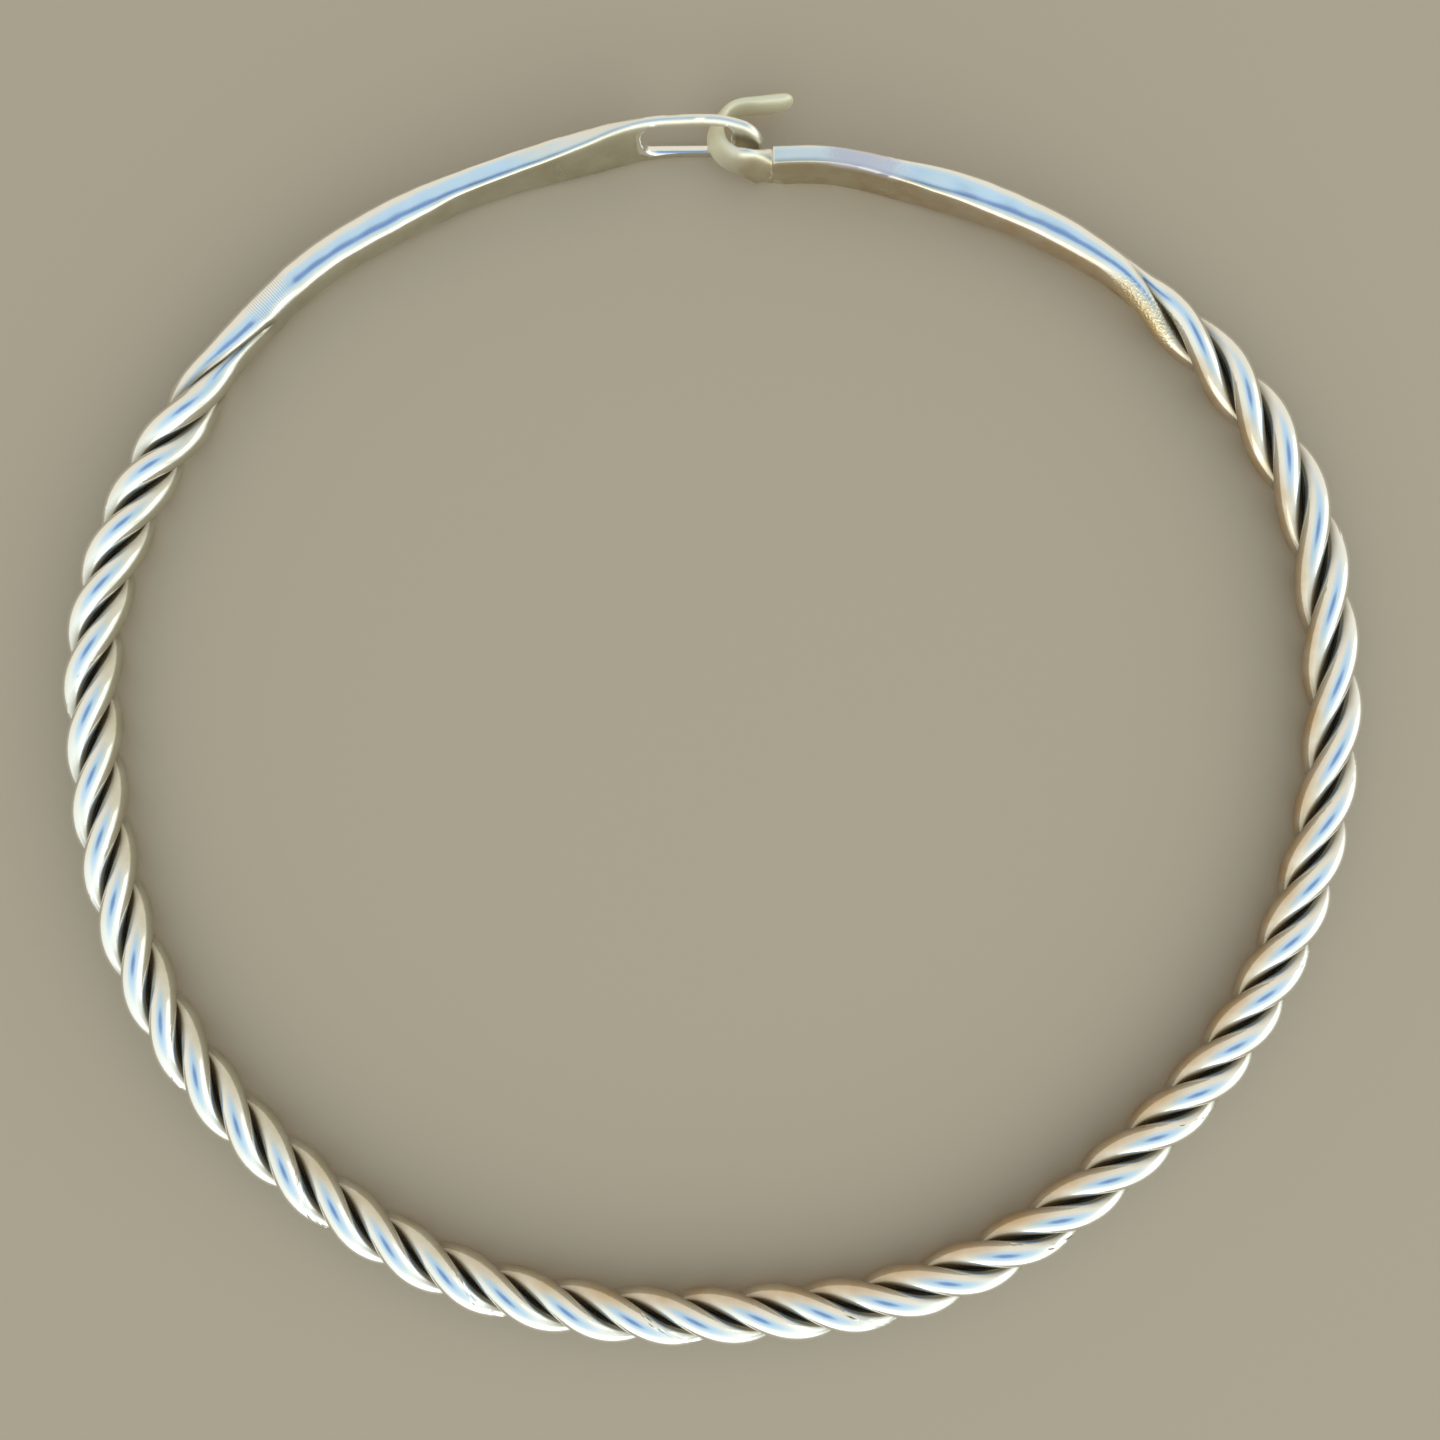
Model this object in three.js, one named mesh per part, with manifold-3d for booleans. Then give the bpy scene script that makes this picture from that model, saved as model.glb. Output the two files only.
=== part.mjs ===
// Silver neck ring. Three round rods are twisted together and hammered into one bar at both ends.
// One end is drawn out into a flat plate with a slot, the other into a strip that ends in a hook.
// Millimetres, lying flat, up is +Z, with the clasp at +Y.
import * as THREE from 'three';
import { mergeVertices } from 'three/addons/utils/BufferGeometryUtils.js';
import Module from 'manifold-3d';

// Ring, with its angles in degrees from +X
const RING_WIDTH = 149.5;
const SHOULDER_ANGLE = 83.9;
const EYE_END_ANGLE = -275.1;

// Twisted rods, with the twist's phase, slack and tight turns in degrees
const ROD_DIAMETER = 2.95;
const ROD_COUNT = 3;
const LAY = 22.06;
const ROD_PHASE = -218;
const HOOK_EASE = 28;
const EYE_EASE = 25;
const SLACK_START = 53;
const SLACK_END = 116;
const TIGHT_END = 162;
const SLACK_TURN = 128;
const TIGHT_TURN = 45;

// Bars hammered from the rods, each as long as it reaches from its end of the ring
const HOOK_BAR_LENGTH = 34;
const HOOK_ROPE_START = 43;
const HOOK_ROPE_FULL = 53;
const EYE_BAR_LENGTH = 83;
const EYE_ROPE_FULL = 78;
const EYE_ROPE_START = 66;
const BAR_HEIGHT = 5.2;
const STRIP_THICKNESS = 2.25;
const STRIP_HEIGHT = 6.5;
const LEAN_REACH = 33;

// Hook
const HOOK_THICKNESS = 1.25;
const HOOK_HEIGHT = 3.2;
const TONGUE_HEIGHT = 4.7;
const SHOULDER_INSET = 0.06;
const BEND_RADIUS = 3.45;
const HOOK_SQUARENESS = 3;
const TIP_LENGTH = 5.8;
const TIP_HEIGHT = 2.4;
const TIP_THICKNESS = 0.8;
const TIP_FLARE = 5;
const TIP_TILT = 7;
const LEG_TILT = 30;
const HOOK_RISE = 0.04;
const HOOK_CLEARANCE = 0.4;
const SLOT_CLEARANCE = 0.25;

// Eye
const PLATE_THICKNESS = 1.45;
const PLATE_WIDTH = 6.9;
const UPPER_LIMB = 0.95;
const LOWER_LIMB = 1.45;
const SLOT_LENGTH = 10.4;
const SLOT_START_CORNER = 1.9;
const SLOT_END_CORNER = 0.8;
const EYE_END = 3.9;
const EYE_LEAN = 14;
const EYE_ROUNDING = 2.6;
const EYE_TAPER = 0.2;

// Depth worn flat on the rods' underside, and how much higher the hammered ends stay
const FLAT_DEPTH = 0.15;
const END_LIFT = 0.03;

// Mesh fineness
const ROD_POINT_COUNT = 6;
const TURN_STEP_COUNT = 12;
const BAR_STEP = 3;
const HOOK_STEP_COUNT = 24;
const END_STEP_COUNT = 6;

// Hammered metal towards the hook: distance from the shoulder, thickness, height and squareness
const HOOK_SIDE = [
  [0, STRIP_THICKNESS, STRIP_HEIGHT, 7],
  [10, STRIP_THICKNESS, STRIP_HEIGHT, 7],
  [16, 2.8, 6, 5],
  [20.5, 3.6, 5.6, 4],
  [27.5, 4.1, 5.3, 3],
  [HOOK_BAR_LENGTH, 4.15, BAR_HEIGHT, 2.6],
  [HOOK_ROPE_START, 3.75, 4.9, 2.2],
  [50, 4.6, 5.1, 2.1],
];

// Hammered metal towards the eye: distance from the eye's end, thickness, height and squareness
const EYE_SIDE = [
  [64, 4.3, 5, 2.4],
  [45, 4.2, BAR_HEIGHT, 3],
  [40, 3.85, 5.3, 3.5],
  [36, 3.15, 5.4, 4.5],
  [31, 2.85, 5.5, 6],
  [26, 2.8, 5.9, 6],
  [21, 2.3, 6.3, 6],
  [17, 1.8, 6.8, 6],
  [14, PLATE_THICKNESS, PLATE_WIDTH, 5],
  [0, PLATE_THICKNESS, PLATE_WIDTH, 5],
];

// Share of its full size that the rope has where its rods are still hammered, by distance from each end
const HOOK_ROPE_SIZES = [
  [42, 0.67],
  [47, 0.82],
  [52, 0.92],
  [60, 0.985],
  [66, 1],
];
const EYE_ROPE_SIZES = [
  [80, 1],
  [73, 0.98],
  [68, 0.93],
  [64, 0.8],
];

// How the ring was bent: angles in degrees, and the radius there as a share of half the ring's width
const BENDS = [
  [-275.1, 0.925],
  [-270, 0.943],
  [-265, 0.944],
  [-257, 0.9385],
  [-250, 0.9417],
  [-238, 0.9555],
  [-228, 0.972],
  [-218, 0.978],
  [-210, 0.98],
  [-204, 0.9895],
  [-188, 1.0035],
  [-176, 0.9952],
  [-152, 1.003],
  [-128, 0.987],
  [-116, 0.9832],
  [-104, 0.9718],
  [-86, 0.957],
  [-75, 0.969],
  [-64, 0.9745],
  [-48, 0.9705],
  [-32, 0.9845],
  [-4, 0.999],
  [8, 1.0055],
  [20, 1.0175],
  [28, 1.0105],
  [40, 0.9895],
  [52, 0.969],
  [64, 0.9415],
  [72, 0.9235],
  [78, 0.9165],
  [83.9, 0.9015],
];

const { clamp, degToRad, lerp, smoothstep } = THREE.MathUtils;
const UP = new THREE.Vector3(0, 0, 1);
const POINTS = ROD_COUNT * ROD_POINT_COUNT;
const POINT_TURN = (2 * Math.PI) / POINTS;

// Sizes worked out from the ones above
const rodRadius = ROD_DIAMETER / 2;
const rodPitchRadius = touchingPitchRadius();
const ropeRadius = rodPitchRadius + rodRadius;
const halfWidth = RING_WIDTH / 2 - ropeRadius;
const restHeight = ropeRadius - FLAT_DEPTH;
const slotHeight = PLATE_WIDTH - UPPER_LIMB - LOWER_LIMB;

// Distance of each rod's middle from the rope's middle when the twisted rods just touch
function touchingPitchRadius() {
  const halfSpread = Math.PI / ROD_COUNT;
  let radius = rodRadius / Math.sin(halfSpread);
  for (let pass = 0; pass < 8; pass += 1) {
    const stretch = Math.hypot(1, (2 * Math.PI * radius) / LAY);
    radius = rodRadius * Math.hypot(1, stretch / Math.tan(halfSpread));
  }
  return radius;
}

// Smooth value at a place in a rising list of [place, value] pairs, never beyond the pairs around it
function valueThrough(pairs, place) {
  const last = pairs.length - 1;
  const x = clamp(place, pairs[0][0], pairs[last][0]);
  const i = Math.max(0, pairs.findIndex(([start]) => start >= x) - 1);
  const grade = (k) => (pairs[k + 1][1] - pairs[k][1]) / (pairs[k + 1][0] - pairs[k][0]);
  const slope = (k) => {
    if (k === 0) return grade(0);
    if (k === last) return grade(last - 1);
    const [before, after] = [grade(k - 1), grade(k)];
    return before * after > 0 ? (2 * before * after) / (before + after) : 0;
  };
  const span = pairs[i + 1][0] - pairs[i][0];
  const t = (x - pairs[i][0]) / span;
  const lead = slope(i) * span * t * (1 - t) ** 2;
  const tail = slope(i + 1) * span * t ** 2 * (1 - t);
  return lerp(pairs[i][1], pairs[i + 1][1], t ** 2 * (3 - 2 * t)) + lead - tail;
}

// Places at even steps from one to another, leaving out the last
function spread(from, to, step) {
  const count = Math.ceil((to - from) / step);
  return Array.from({ length: count }, (_, i) => lerp(from, to, i / count));
}

// Middle line of the ring, clockwise from the hook's shoulder round to the end of the eye
class RingLine extends THREE.Curve {
  getPoint(t, target = new THREE.Vector3()) {
    const angle = lerp(SHOULDER_ANGLE, EYE_END_ANGLE, t);
    const radius = halfWidth * valueThrough(BENDS, angle);
    return target.set(radius * Math.cos(degToRad(angle)), radius * Math.sin(degToRad(angle)), 0);
  }
}

const ringLine = new RingLine();
ringLine.arcLengthDivisions = 1600;
const ringLength = ringLine.getLength();
const eyeBarStart = ringLength - EYE_BAR_LENGTH;
const slotEnd = ringLength - EYE_END;
const slotStart = slotEnd - SLOT_LENGTH;

// Pairs of place along the ring and one column of the tables of its two ends
function pairsOf(hookRows, eyeRows, column) {
  return [
    ...hookRows.map((row) => [row[0], row[column]]),
    ...eyeRows.map((row) => [ringLength - row[0], row[column]]),
  ];
}

const thicknessPairs = pairsOf(HOOK_SIDE, EYE_SIDE, 1);
const heightPairs = pairsOf(HOOK_SIDE, EYE_SIDE, 2);
const squarenessPairs = pairsOf(HOOK_SIDE, EYE_SIDE, 3);
const ropeSizePairs = pairsOf(HOOK_ROPE_SIZES, EYE_ROPE_SIZES, 1);

// Length of rope twisted by a place on the ring, easing in and out of the straight rods of the bars
function twistedLength(s) {
  const eased = (x, ease) => (x < ease ? Math.max(0, x) ** 2 / (2 * ease) : x - ease / 2);
  return eased(s - HOOK_BAR_LENGTH, HOOK_EASE) - eased(s - eyeBarStart, EYE_EASE);
}

// Angle of the first rod round the rope, from outward towards up: wound slack at first, then tight
function rodAngle(s) {
  const slack = SLACK_TURN * (1 - smoothstep(s, SLACK_START, SLACK_END));
  const tight = TIGHT_TURN * (1 - smoothstep(s, SLACK_END, TIGHT_END));
  return degToRad(ROD_PHASE + (360 * twistedLength(s)) / LAY + slack - tight);
}

// Outline of the rods, cut square across the rope
function rodsOutline(s) {
  const turnPerLength = rodAngle(s + 0.5) - rodAngle(s - 0.5);
  const stretch = Math.hypot(1, rodPitchRadius * turnPerLength);
  const size = valueThrough(ropeSizePairs, s);
  const rodTurn = (2 * Math.PI) / ROD_COUNT;
  return Array.from({ length: POINTS }, (_, i) => {
    const rod = Math.round(i / ROD_POINT_COUNT);
    const share = i / ROD_POINT_COUNT - rod;
    const aroundRod = 2 * Math.PI * share * (1 - 1 / ROD_POINT_COUNT);
    const point = new THREE.Vector2(rodPitchRadius / 2, 0);
    if (Math.abs(share) < 0.5) {
      point.x = rodPitchRadius + rodRadius * Math.cos(aroundRod);
      point.y = rodRadius * stretch * Math.sin(aroundRod);
    } else {
      point.y = point.x * Math.tan(rodTurn / 2) * Math.sign(share);
    }
    return point.multiplyScalar(size).rotateAround(new THREE.Vector2(), rodAngle(s) + rod * rodTurn);
  });
}

// Outline of hammered metal: a squareness of 2 is an oval, and more is squarer
function forgedOutline(thickness, height, squareness, firstAngle = 0) {
  const firstPoint = Math.round(firstAngle / POINT_TURN);
  const flatten = (value) => Math.sign(value) * Math.abs(value) ** (2 / squareness);
  return Array.from({ length: POINTS }, (_, i) => {
    const angle = (i + firstPoint) * POINT_TURN;
    const across = (thickness / 2) * flatten(Math.cos(angle));
    return new THREE.Vector2(across, (height / 2) * flatten(Math.sin(angle)));
  });
}

// Directions across the metal: up with a lean outward, and square to the line's own direction
function directions(forward, lean, top = UP) {
  const outward = new THREE.Vector3().crossVectors(top, forward).normalize();
  const upward = new THREE.Vector3().crossVectors(forward, outward);
  outward.applyAxisAngle(forward, -lean);
  upward.applyAxisAngle(forward, -lean);
  return { forward, outward, upward };
}

// Points of an outline set across the line at a place
function placeOutline(outline, middle, { outward, upward }) {
  return outline.map(({ x, y }) => middle.clone().addScaledVector(outward, x).addScaledVector(upward, y));
}

// Middle and directions of the hammered ends at a place on the ring, raised to the rope's underside
function ringPlace(s) {
  const u = clamp(s / ringLength, 0, 1);
  const lean = degToRad(EYE_LEAN) * smoothstep(s, ringLength - LEAN_REACH, slotStart);
  const halfHeight = (valueThrough(heightPairs, s) * Math.cos(lean)
    + valueThrough(thicknessPairs, s) * Math.sin(lean)) / 2;
  const middle = ringLine.getPointAt(u);
  middle.z = Math.max(0, halfHeight - restHeight + END_LIFT);
  return { middle, ...directions(ringLine.getTangentAt(u), lean) };
}

// Ring of points round the metal at a place: twisted rods, hammered bar, strip or plate
function ringSection(s) {
  const place = ringPlace(s);
  const intoTwist = smoothstep(s, HOOK_ROPE_START, HOOK_ROPE_FULL);
  const outOfTwist = smoothstep(s, ringLength - EYE_ROPE_FULL, ringLength - EYE_ROPE_START);
  const pastRounding = Math.max(0, (s - ringLength) / EYE_ROUNDING + 1);
  const narrowing = Math.max(EYE_TAPER, Math.sqrt(Math.max(0, 1 - pastRounding ** 2)));
  const forged = forgedOutline(
    valueThrough(thicknessPairs, s) * Math.sqrt(narrowing),
    valueThrough(heightPairs, s) * narrowing,
    valueThrough(squarenessPairs, s),
    rodAngle(s),
  );
  const rods = rodsOutline(s);
  const outline = forged.map((point, i) => point.lerp(rods[i], intoTwist * (1 - outOfTwist)));
  return placeOutline(outline, place.middle, place);
}

// Closed mesh through rings of points that follow one another
function loft(sections) {
  const positions = sections.flat().flatMap((point) => point.toArray());
  const triangles = [];
  const at = (row, k) => row * POINTS + (k % POINTS);
  for (let row = 0; row < sections.length - 1; row += 1) {
    for (let k = 0; k < POINTS; k += 1) {
      triangles.push(at(row, k), at(row, k + 1), at(row + 1, k));
      triangles.push(at(row, k + 1), at(row + 1, k + 1), at(row + 1, k));
    }
  }
  for (const row of [0, sections.length - 1]) {
    const centre = new THREE.Vector3();
    sections[row].forEach((point) => centre.addScaledVector(point, 1 / POINTS));
    const centreIndex = positions.length / 3;
    positions.push(...centre.toArray());
    for (let k = 0; k < POINTS; k += 1) {
      const edge = row === 0 ? [at(row, k + 1), at(row, k)] : [at(row, k), at(row, k + 1)];
      triangles.push(centreIndex, ...edge);
    }
  }
  const geometry = new THREE.BufferGeometry();
  geometry.setAttribute('position', new THREE.Float32BufferAttribute(positions, 3));
  geometry.setIndex(triangles);
  return geometry;
}

// Ring from the shoulder to the rounded end of the eye
function ringGeometry() {
  const roundingStart = ringLength - EYE_ROUNDING;
  const quarterTurn = Math.PI / 2;
  const places = [
    ...spread(0, HOOK_ROPE_START, BAR_STEP),
    ...spread(HOOK_ROPE_START, eyeBarStart + EYE_EASE, LAY / TURN_STEP_COUNT),
    ...spread(eyeBarStart + EYE_EASE, roundingStart, BAR_STEP),
    ...spread(0, quarterTurn, quarterTurn / END_STEP_COUNT)
      .map((turn) => roundingStart + EYE_ROUNDING * Math.sin(turn)),
    ringLength,
  ];
  return loft(places.map(ringSection));
}

// Line of the hook from its tip, round its bend and through the eye, to inside the strip's shoulder
function hookLine() {
  const turnInPlate = PLATE_THICKNESS ** 2 / (2 * (BEND_RADIUS - HOOK_THICKNESS));
  const tilt = degToRad(LEG_TILT);
  const power = HOOK_SQUARENESS / (HOOK_SQUARENESS - 1);
  const halfLeg = [HOOK_THICKNESS * Math.cos(tilt), HOOK_HEIGHT * Math.sin(tilt)]
    .reduce((sum, side) => sum + (side / 2) ** power, 0) ** (1 / power);
  const passage = ringPlace(slotEnd - SLOT_CLEARANCE - halfLeg - turnInPlate);
  const radial = passage.middle.clone().setZ(0).normalize();
  const along = new THREE.Vector3().crossVectors(radial, UP);
  const lean = degToRad(EYE_LEAN);
  const outward = radial.clone().applyAxisAngle(along, -lean);
  const upward = UP.clone().applyAxisAngle(along, -lean);
  const eyeEnd = ringPlace(ringLength).middle.sub(passage.middle).dot(outward);
  const legOffset = eyeEnd - PLATE_THICKNESS / 2 - HOOK_CLEARANCE - HOOK_THICKNESS / 2;
  const place = (forward, out, up) => passage.middle.clone()
    .addScaledVector(along, forward).addScaledVector(outward, out).addScaledVector(upward, up);
  const bendPoint = (angle, beyond = 0) => {
    const length = BEND_RADIUS * (Math.PI - angle) + beyond;
    const forward = BEND_RADIUS * (1 + Math.cos(angle)) + beyond * Math.sin(angle);
    const out = legOffset + BEND_RADIUS * (1 + Math.sin(angle)) - beyond * Math.cos(angle);
    return place(forward, out, HOOK_RISE * length);
  };
  const flareAngle = Math.PI / 2 + degToRad(TIP_FLARE);
  const shoulder = ringPlace(0);
  const buried = ringPlace(HOOK_THICKNESS);
  const drop = (STRIP_HEIGHT - TONGUE_HEIGHT) / 2 - SHOULDER_INSET;
  shoulder.middle.z -= drop;
  buried.middle.z -= drop;
  const points = [
    ...[1, 0.67, 0.33].map((share) => bendPoint(flareAngle, share * TIP_LENGTH)),
    ...spread(flareAngle, 1.5 * Math.PI, degToRad(20)).map((angle) => bendPoint(angle)),
    bendPoint(1.5 * Math.PI),
    shoulder.middle,
    buried.middle,
  ];
  return { line: new THREE.CatmullRomCurve3(points), upward };
}

// Hook, from its blunt tip to the tongue's root buried in the strip
function hookGeometry() {
  const { line, upward } = hookLine();
  const length = line.getLength();
  const passage = TIP_LENGTH + (BEND_RADIUS * Math.PI) / 2;
  const bendEnd = passage + (BEND_RADIUS * Math.PI) / 2;
  const rootThickness = STRIP_THICKNESS - 2 * SHOULDER_INSET;
  const heights = [
    [0, TIP_HEIGHT],
    [TIP_LENGTH * 0.4, HOOK_HEIGHT * 0.98],
    [passage, HOOK_HEIGHT],
    [passage + 1.4 * PLATE_THICKNESS, HOOK_HEIGHT],
    [bendEnd, lerp(HOOK_HEIGHT, TONGUE_HEIGHT, 0.5)],
    [length - 2, TONGUE_HEIGHT],
    [length, TONGUE_HEIGHT],
  ];
  const thicknesses = [
    [0, TIP_THICKNESS],
    [TIP_LENGTH * 0.2, HOOK_THICKNESS],
    [bendEnd, HOOK_THICKNESS],
    [length - 1.7, rootThickness],
    [length, rootThickness],
  ];
  const tilts = [
    [0, TIP_TILT],
    [TIP_LENGTH, TIP_TILT],
    [passage, LEG_TILT],
    [bendEnd, LEG_TILT / 4],
    [length, 0],
  ];
  const sections = Array.from({ length: HOOK_STEP_COUNT + 1 }, (_, i) => {
    const s = (length * i) / HOOK_STEP_COUNT;
    const top = upward.clone().lerp(UP, smoothstep(s, bendEnd, length));
    const across = directions(line.getTangentAt(s / length), degToRad(valueThrough(tilts, s)), top);
    const height = valueThrough(heights, s);
    const lift = s < passage ? (HOOK_HEIGHT - height) / 2 : 0;
    const middle = line.getPointAt(s / length).addScaledVector(across.upward, lift);
    const outline = forgedOutline(valueThrough(thicknesses, s), height, HOOK_SQUARENESS);
    return placeOutline(outline, middle, across);
  });
  return loft(sections);
}

// Straight cutter for the eye's slot, rounder where it starts than at the hook
function slotGeometry() {
  const [x, y, r, q] = [SLOT_LENGTH / 2, slotHeight / 2, SLOT_END_CORNER, SLOT_START_CORNER];
  const shape = new THREE.Shape();
  shape.moveTo(x, r - y);
  shape.absarc(x - r, y - r, r, 0, Math.PI / 2);
  shape.absarc(q - x, y - q, q, Math.PI / 2, Math.PI);
  shape.absarc(q - x, q - y, q, Math.PI, 1.5 * Math.PI);
  shape.absarc(x - r, r - y, r, 1.5 * Math.PI, 2 * Math.PI);
  const depth = 4 * PLATE_THICKNESS;
  const geometry = new THREE.ExtrudeGeometry(shape, { depth, bevelEnabled: false, curveSegments: 5 });
  const { middle, forward, outward, upward } = ringPlace((slotStart + slotEnd) / 2);
  geometry.translate(0, (LOWER_LIMB - UPPER_LIMB) / 2, -depth / 2);
  geometry.applyMatrix4(new THREE.Matrix4().makeBasis(forward, upward, outward.clone().negate()));
  return geometry.translate(...middle.toArray());
}

// Block of what is worn away below the flats
function wearGeometry() {
  const [width, depth] = [1.2 * RING_WIDTH, 2 * ropeRadius];
  return new THREE.BoxGeometry(width, width, depth).translate(0, 0, -restHeight - depth / 2);
}

const wasm = await Module();
wasm.setup();

// Solid of a closed mesh
function solidOf(geometry) {
  const bare = geometry.clone();
  bare.deleteAttribute('normal');
  bare.deleteAttribute('uv');
  const merged = mergeVertices(bare, 1e-4);
  return new wasm.Manifold(new wasm.Mesh({
    numProp: 3,
    vertProperties: new Float32Array(merged.attributes.position.array),
    triVerts: new Uint32Array(merged.index.array),
  }));
}

// Geometry of a solid, moved so that the origin is under the middle of its box
function geometryOf(solid) {
  const mesh = solid.getMesh();
  const geometry = new THREE.BufferGeometry();
  geometry.setAttribute('position', new THREE.Float32BufferAttribute(mesh.vertProperties, 3));
  geometry.setIndex([...mesh.triVerts]);
  geometry.computeBoundingBox();
  const centre = geometry.boundingBox.getCenter(new THREE.Vector3());
  geometry.translate(-centre.x, -centre.y, -geometry.boundingBox.min.z);
  geometry.computeVertexNormals();
  return geometry;
}

const silver = new THREE.MeshStandardMaterial({ color: 0xd9dcdc, roughness: 0.28, metalness: 1 });
const torcSolid = solidOf(ringGeometry())
  .subtract(solidOf(slotGeometry()))
  .add(solidOf(hookGeometry()))
  .subtract(solidOf(wearGeometry()));
const torc = new THREE.Mesh(geometryOf(torcSolid), silver);
torc.name = 'torc';

const neckRing = new THREE.Group();
neckRing.add(torc);

export default neckRing;
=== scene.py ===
"""Silver neck ring of three rods twisted like rope, hammered at both ends into a hook and an eye.

Sizes are in millimetres and degrees, in the ring's own frame: its middle line lies in the plane z = 0,
the clasp is at +Y, and places along the metal are measured clockwise from the hook's shoulder.
"""

import logging
import math
from collections.abc import Iterator
from contextlib import contextmanager
from dataclasses import dataclass, field
from enum import Enum
from functools import cached_property

import bpy
import numpy as np
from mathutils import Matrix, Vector, noise


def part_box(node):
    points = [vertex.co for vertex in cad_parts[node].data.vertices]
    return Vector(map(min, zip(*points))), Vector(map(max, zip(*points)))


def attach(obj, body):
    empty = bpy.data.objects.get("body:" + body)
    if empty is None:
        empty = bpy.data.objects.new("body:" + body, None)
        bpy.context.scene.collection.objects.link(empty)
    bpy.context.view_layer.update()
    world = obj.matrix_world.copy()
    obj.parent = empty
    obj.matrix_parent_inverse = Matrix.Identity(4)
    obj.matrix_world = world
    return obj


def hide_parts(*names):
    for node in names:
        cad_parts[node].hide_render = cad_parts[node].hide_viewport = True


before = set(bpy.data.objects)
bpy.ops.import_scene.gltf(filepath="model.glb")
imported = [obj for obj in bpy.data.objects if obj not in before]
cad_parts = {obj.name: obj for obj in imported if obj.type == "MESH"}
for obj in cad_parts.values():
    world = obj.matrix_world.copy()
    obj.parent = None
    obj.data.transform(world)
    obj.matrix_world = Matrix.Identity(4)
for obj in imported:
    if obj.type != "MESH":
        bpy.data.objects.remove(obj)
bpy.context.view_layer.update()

MM = 0.001
TINY = 1e-5
UP = np.array([0.0, 0.0, 1.0])
Array = np.ndarray
Piece = bpy.types.Object
Colour = tuple[float, float, float, float]
Pair = tuple[float, float]
Triple = tuple[float, float, float]
Stretch = tuple[float, float, float, float]

log = logging.getLogger("neck_ring")


class Mark(Enum):
    """What is marked on the metal for its finish, as attributes of the mesh, among them painted shade and
    a painted reflection.
    """

    # Tarnish and painted shade between the rods: darker the deeper the crevice, where shade falls
    CREVICE_TARNISH_AND_SHADE = "crevice"
    CLASP = "clasp"
    SOLDER = "solder"
    FILED = "filed"
    # Painted reflection: warm brown on the sides that face the ring's middle, standing in for the floor
    # seen in them
    PAINTED_REFLECTION = "painted_reflection"
    GRAIN = "grain"


# Sums on arrays


def smooth(x: Array | float, start: float, end: float) -> Array:
    """Rise from 0 at the start to 1 at the end, without a corner at either."""
    t = np.clip((np.asarray(x, float) - start) / (end - start), 0, 1)
    return t * t * (3 - 2 * t)


def between(x: Array, places: Stretch) -> Array:
    """Rise from 0 to 1 between the first two places, and fall back to 0 between the last two."""
    return smooth(x, *places[:2]) * (1 - smooth(x, *places[2:]))


def stepped(x: Array, steps: tuple[Triple, ...]) -> Array:
    """Sum of smooth rises, each given by its height, its start and its end."""
    return sum(height * smooth(x, start, end) for height, start, end in steps)


def mixed(a: Array, b: Array, share: Array) -> Array:
    """Blend of two arrays of points, row by row."""
    return a + (b - a) * share[:, None]


def unit(vectors: Array) -> Array:
    """Rows of an array at length one."""
    return vectors / np.linalg.norm(vectors, axis=1, keepdims=True)


def dots(a: Array, b: Array) -> Array:
    """Dot product of two arrays, row by row."""
    return np.einsum("ij,ij->i", a, b)


def turned(vectors: Array, axes: Array, angles: Array) -> Array:
    """Rows turned about unit axes, by angles in radians."""
    cos, sin = np.cos(angles)[:, None], np.sin(angles)[:, None]
    along = axes * dots(axes, vectors)[:, None] * (1 - cos)
    return vectors * cos + np.cross(axes, vectors) * sin + along


@dataclass(frozen=True)
class Gauge:
    """A size that changes smoothly along the metal, and never goes beyond the pairs around it."""

    pairs: tuple[Pair, ...]

    def at(self, place: Array | float) -> Array:
        """Size at places along the metal.

        Args:
            place: Where the size is wanted, in the pairs' own measure.

        Returns:
            The size there, held at the first and last pairs' own beyond them.
        """
        places, sizes = np.array(self.pairs, float).T
        spans = np.diff(places)
        grades = np.diff(sizes) / spans
        product = grades[:-1] * grades[1:]
        total = np.where(product > 0, grades[:-1] + grades[1:], 1)
        inner = np.where(product > 0, 2 * product / total, 0)
        slopes = np.concatenate([grades[:1], inner, grades[-1:]])
        x = np.clip(np.asarray(place, float), places[0], places[-1])
        i = np.clip(np.searchsorted(places, x) - 1, 0, len(spans) - 1)
        t = (x - places[i]) / spans[i]
        lead = slopes[i] * spans[i] * t * (1 - t) ** 2
        tail = slopes[i + 1] * spans[i] * t**2 * (1 - t)
        rise = t**2 * (3 - 2 * t)
        return sizes[i] * (1 - rise) + sizes[i + 1] * rise + lead - tail


@dataclass(frozen=True)
class Places:
    """Middles of the metal with the directions across it, one row for each point."""

    middle: Array
    forward: Array
    outward: Array
    upward: Array

    def put(self, outline: Array) -> Array:
        """Points of an outline, given as ways outward and upward of the middle."""
        return self.middle + self.outward * outline[:, :1] + self.upward * outline[:, 1:]


def across(forward: Array, lean: Array, top: Array) -> tuple[Array, Array]:
    """Directions across the metal.

    Args:
        forward: Unit directions of the metal.
        lean: Angles in radians by which the top leans outward.
        top: Directions that count as up.

    Returns:
        The outward and the upward directions, square to the metal's own.
    """
    outward = unit(np.cross(top, forward))
    upward = np.cross(forward, outward)
    return turned(outward, forward, -lean), turned(upward, forward, -lean)


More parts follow.
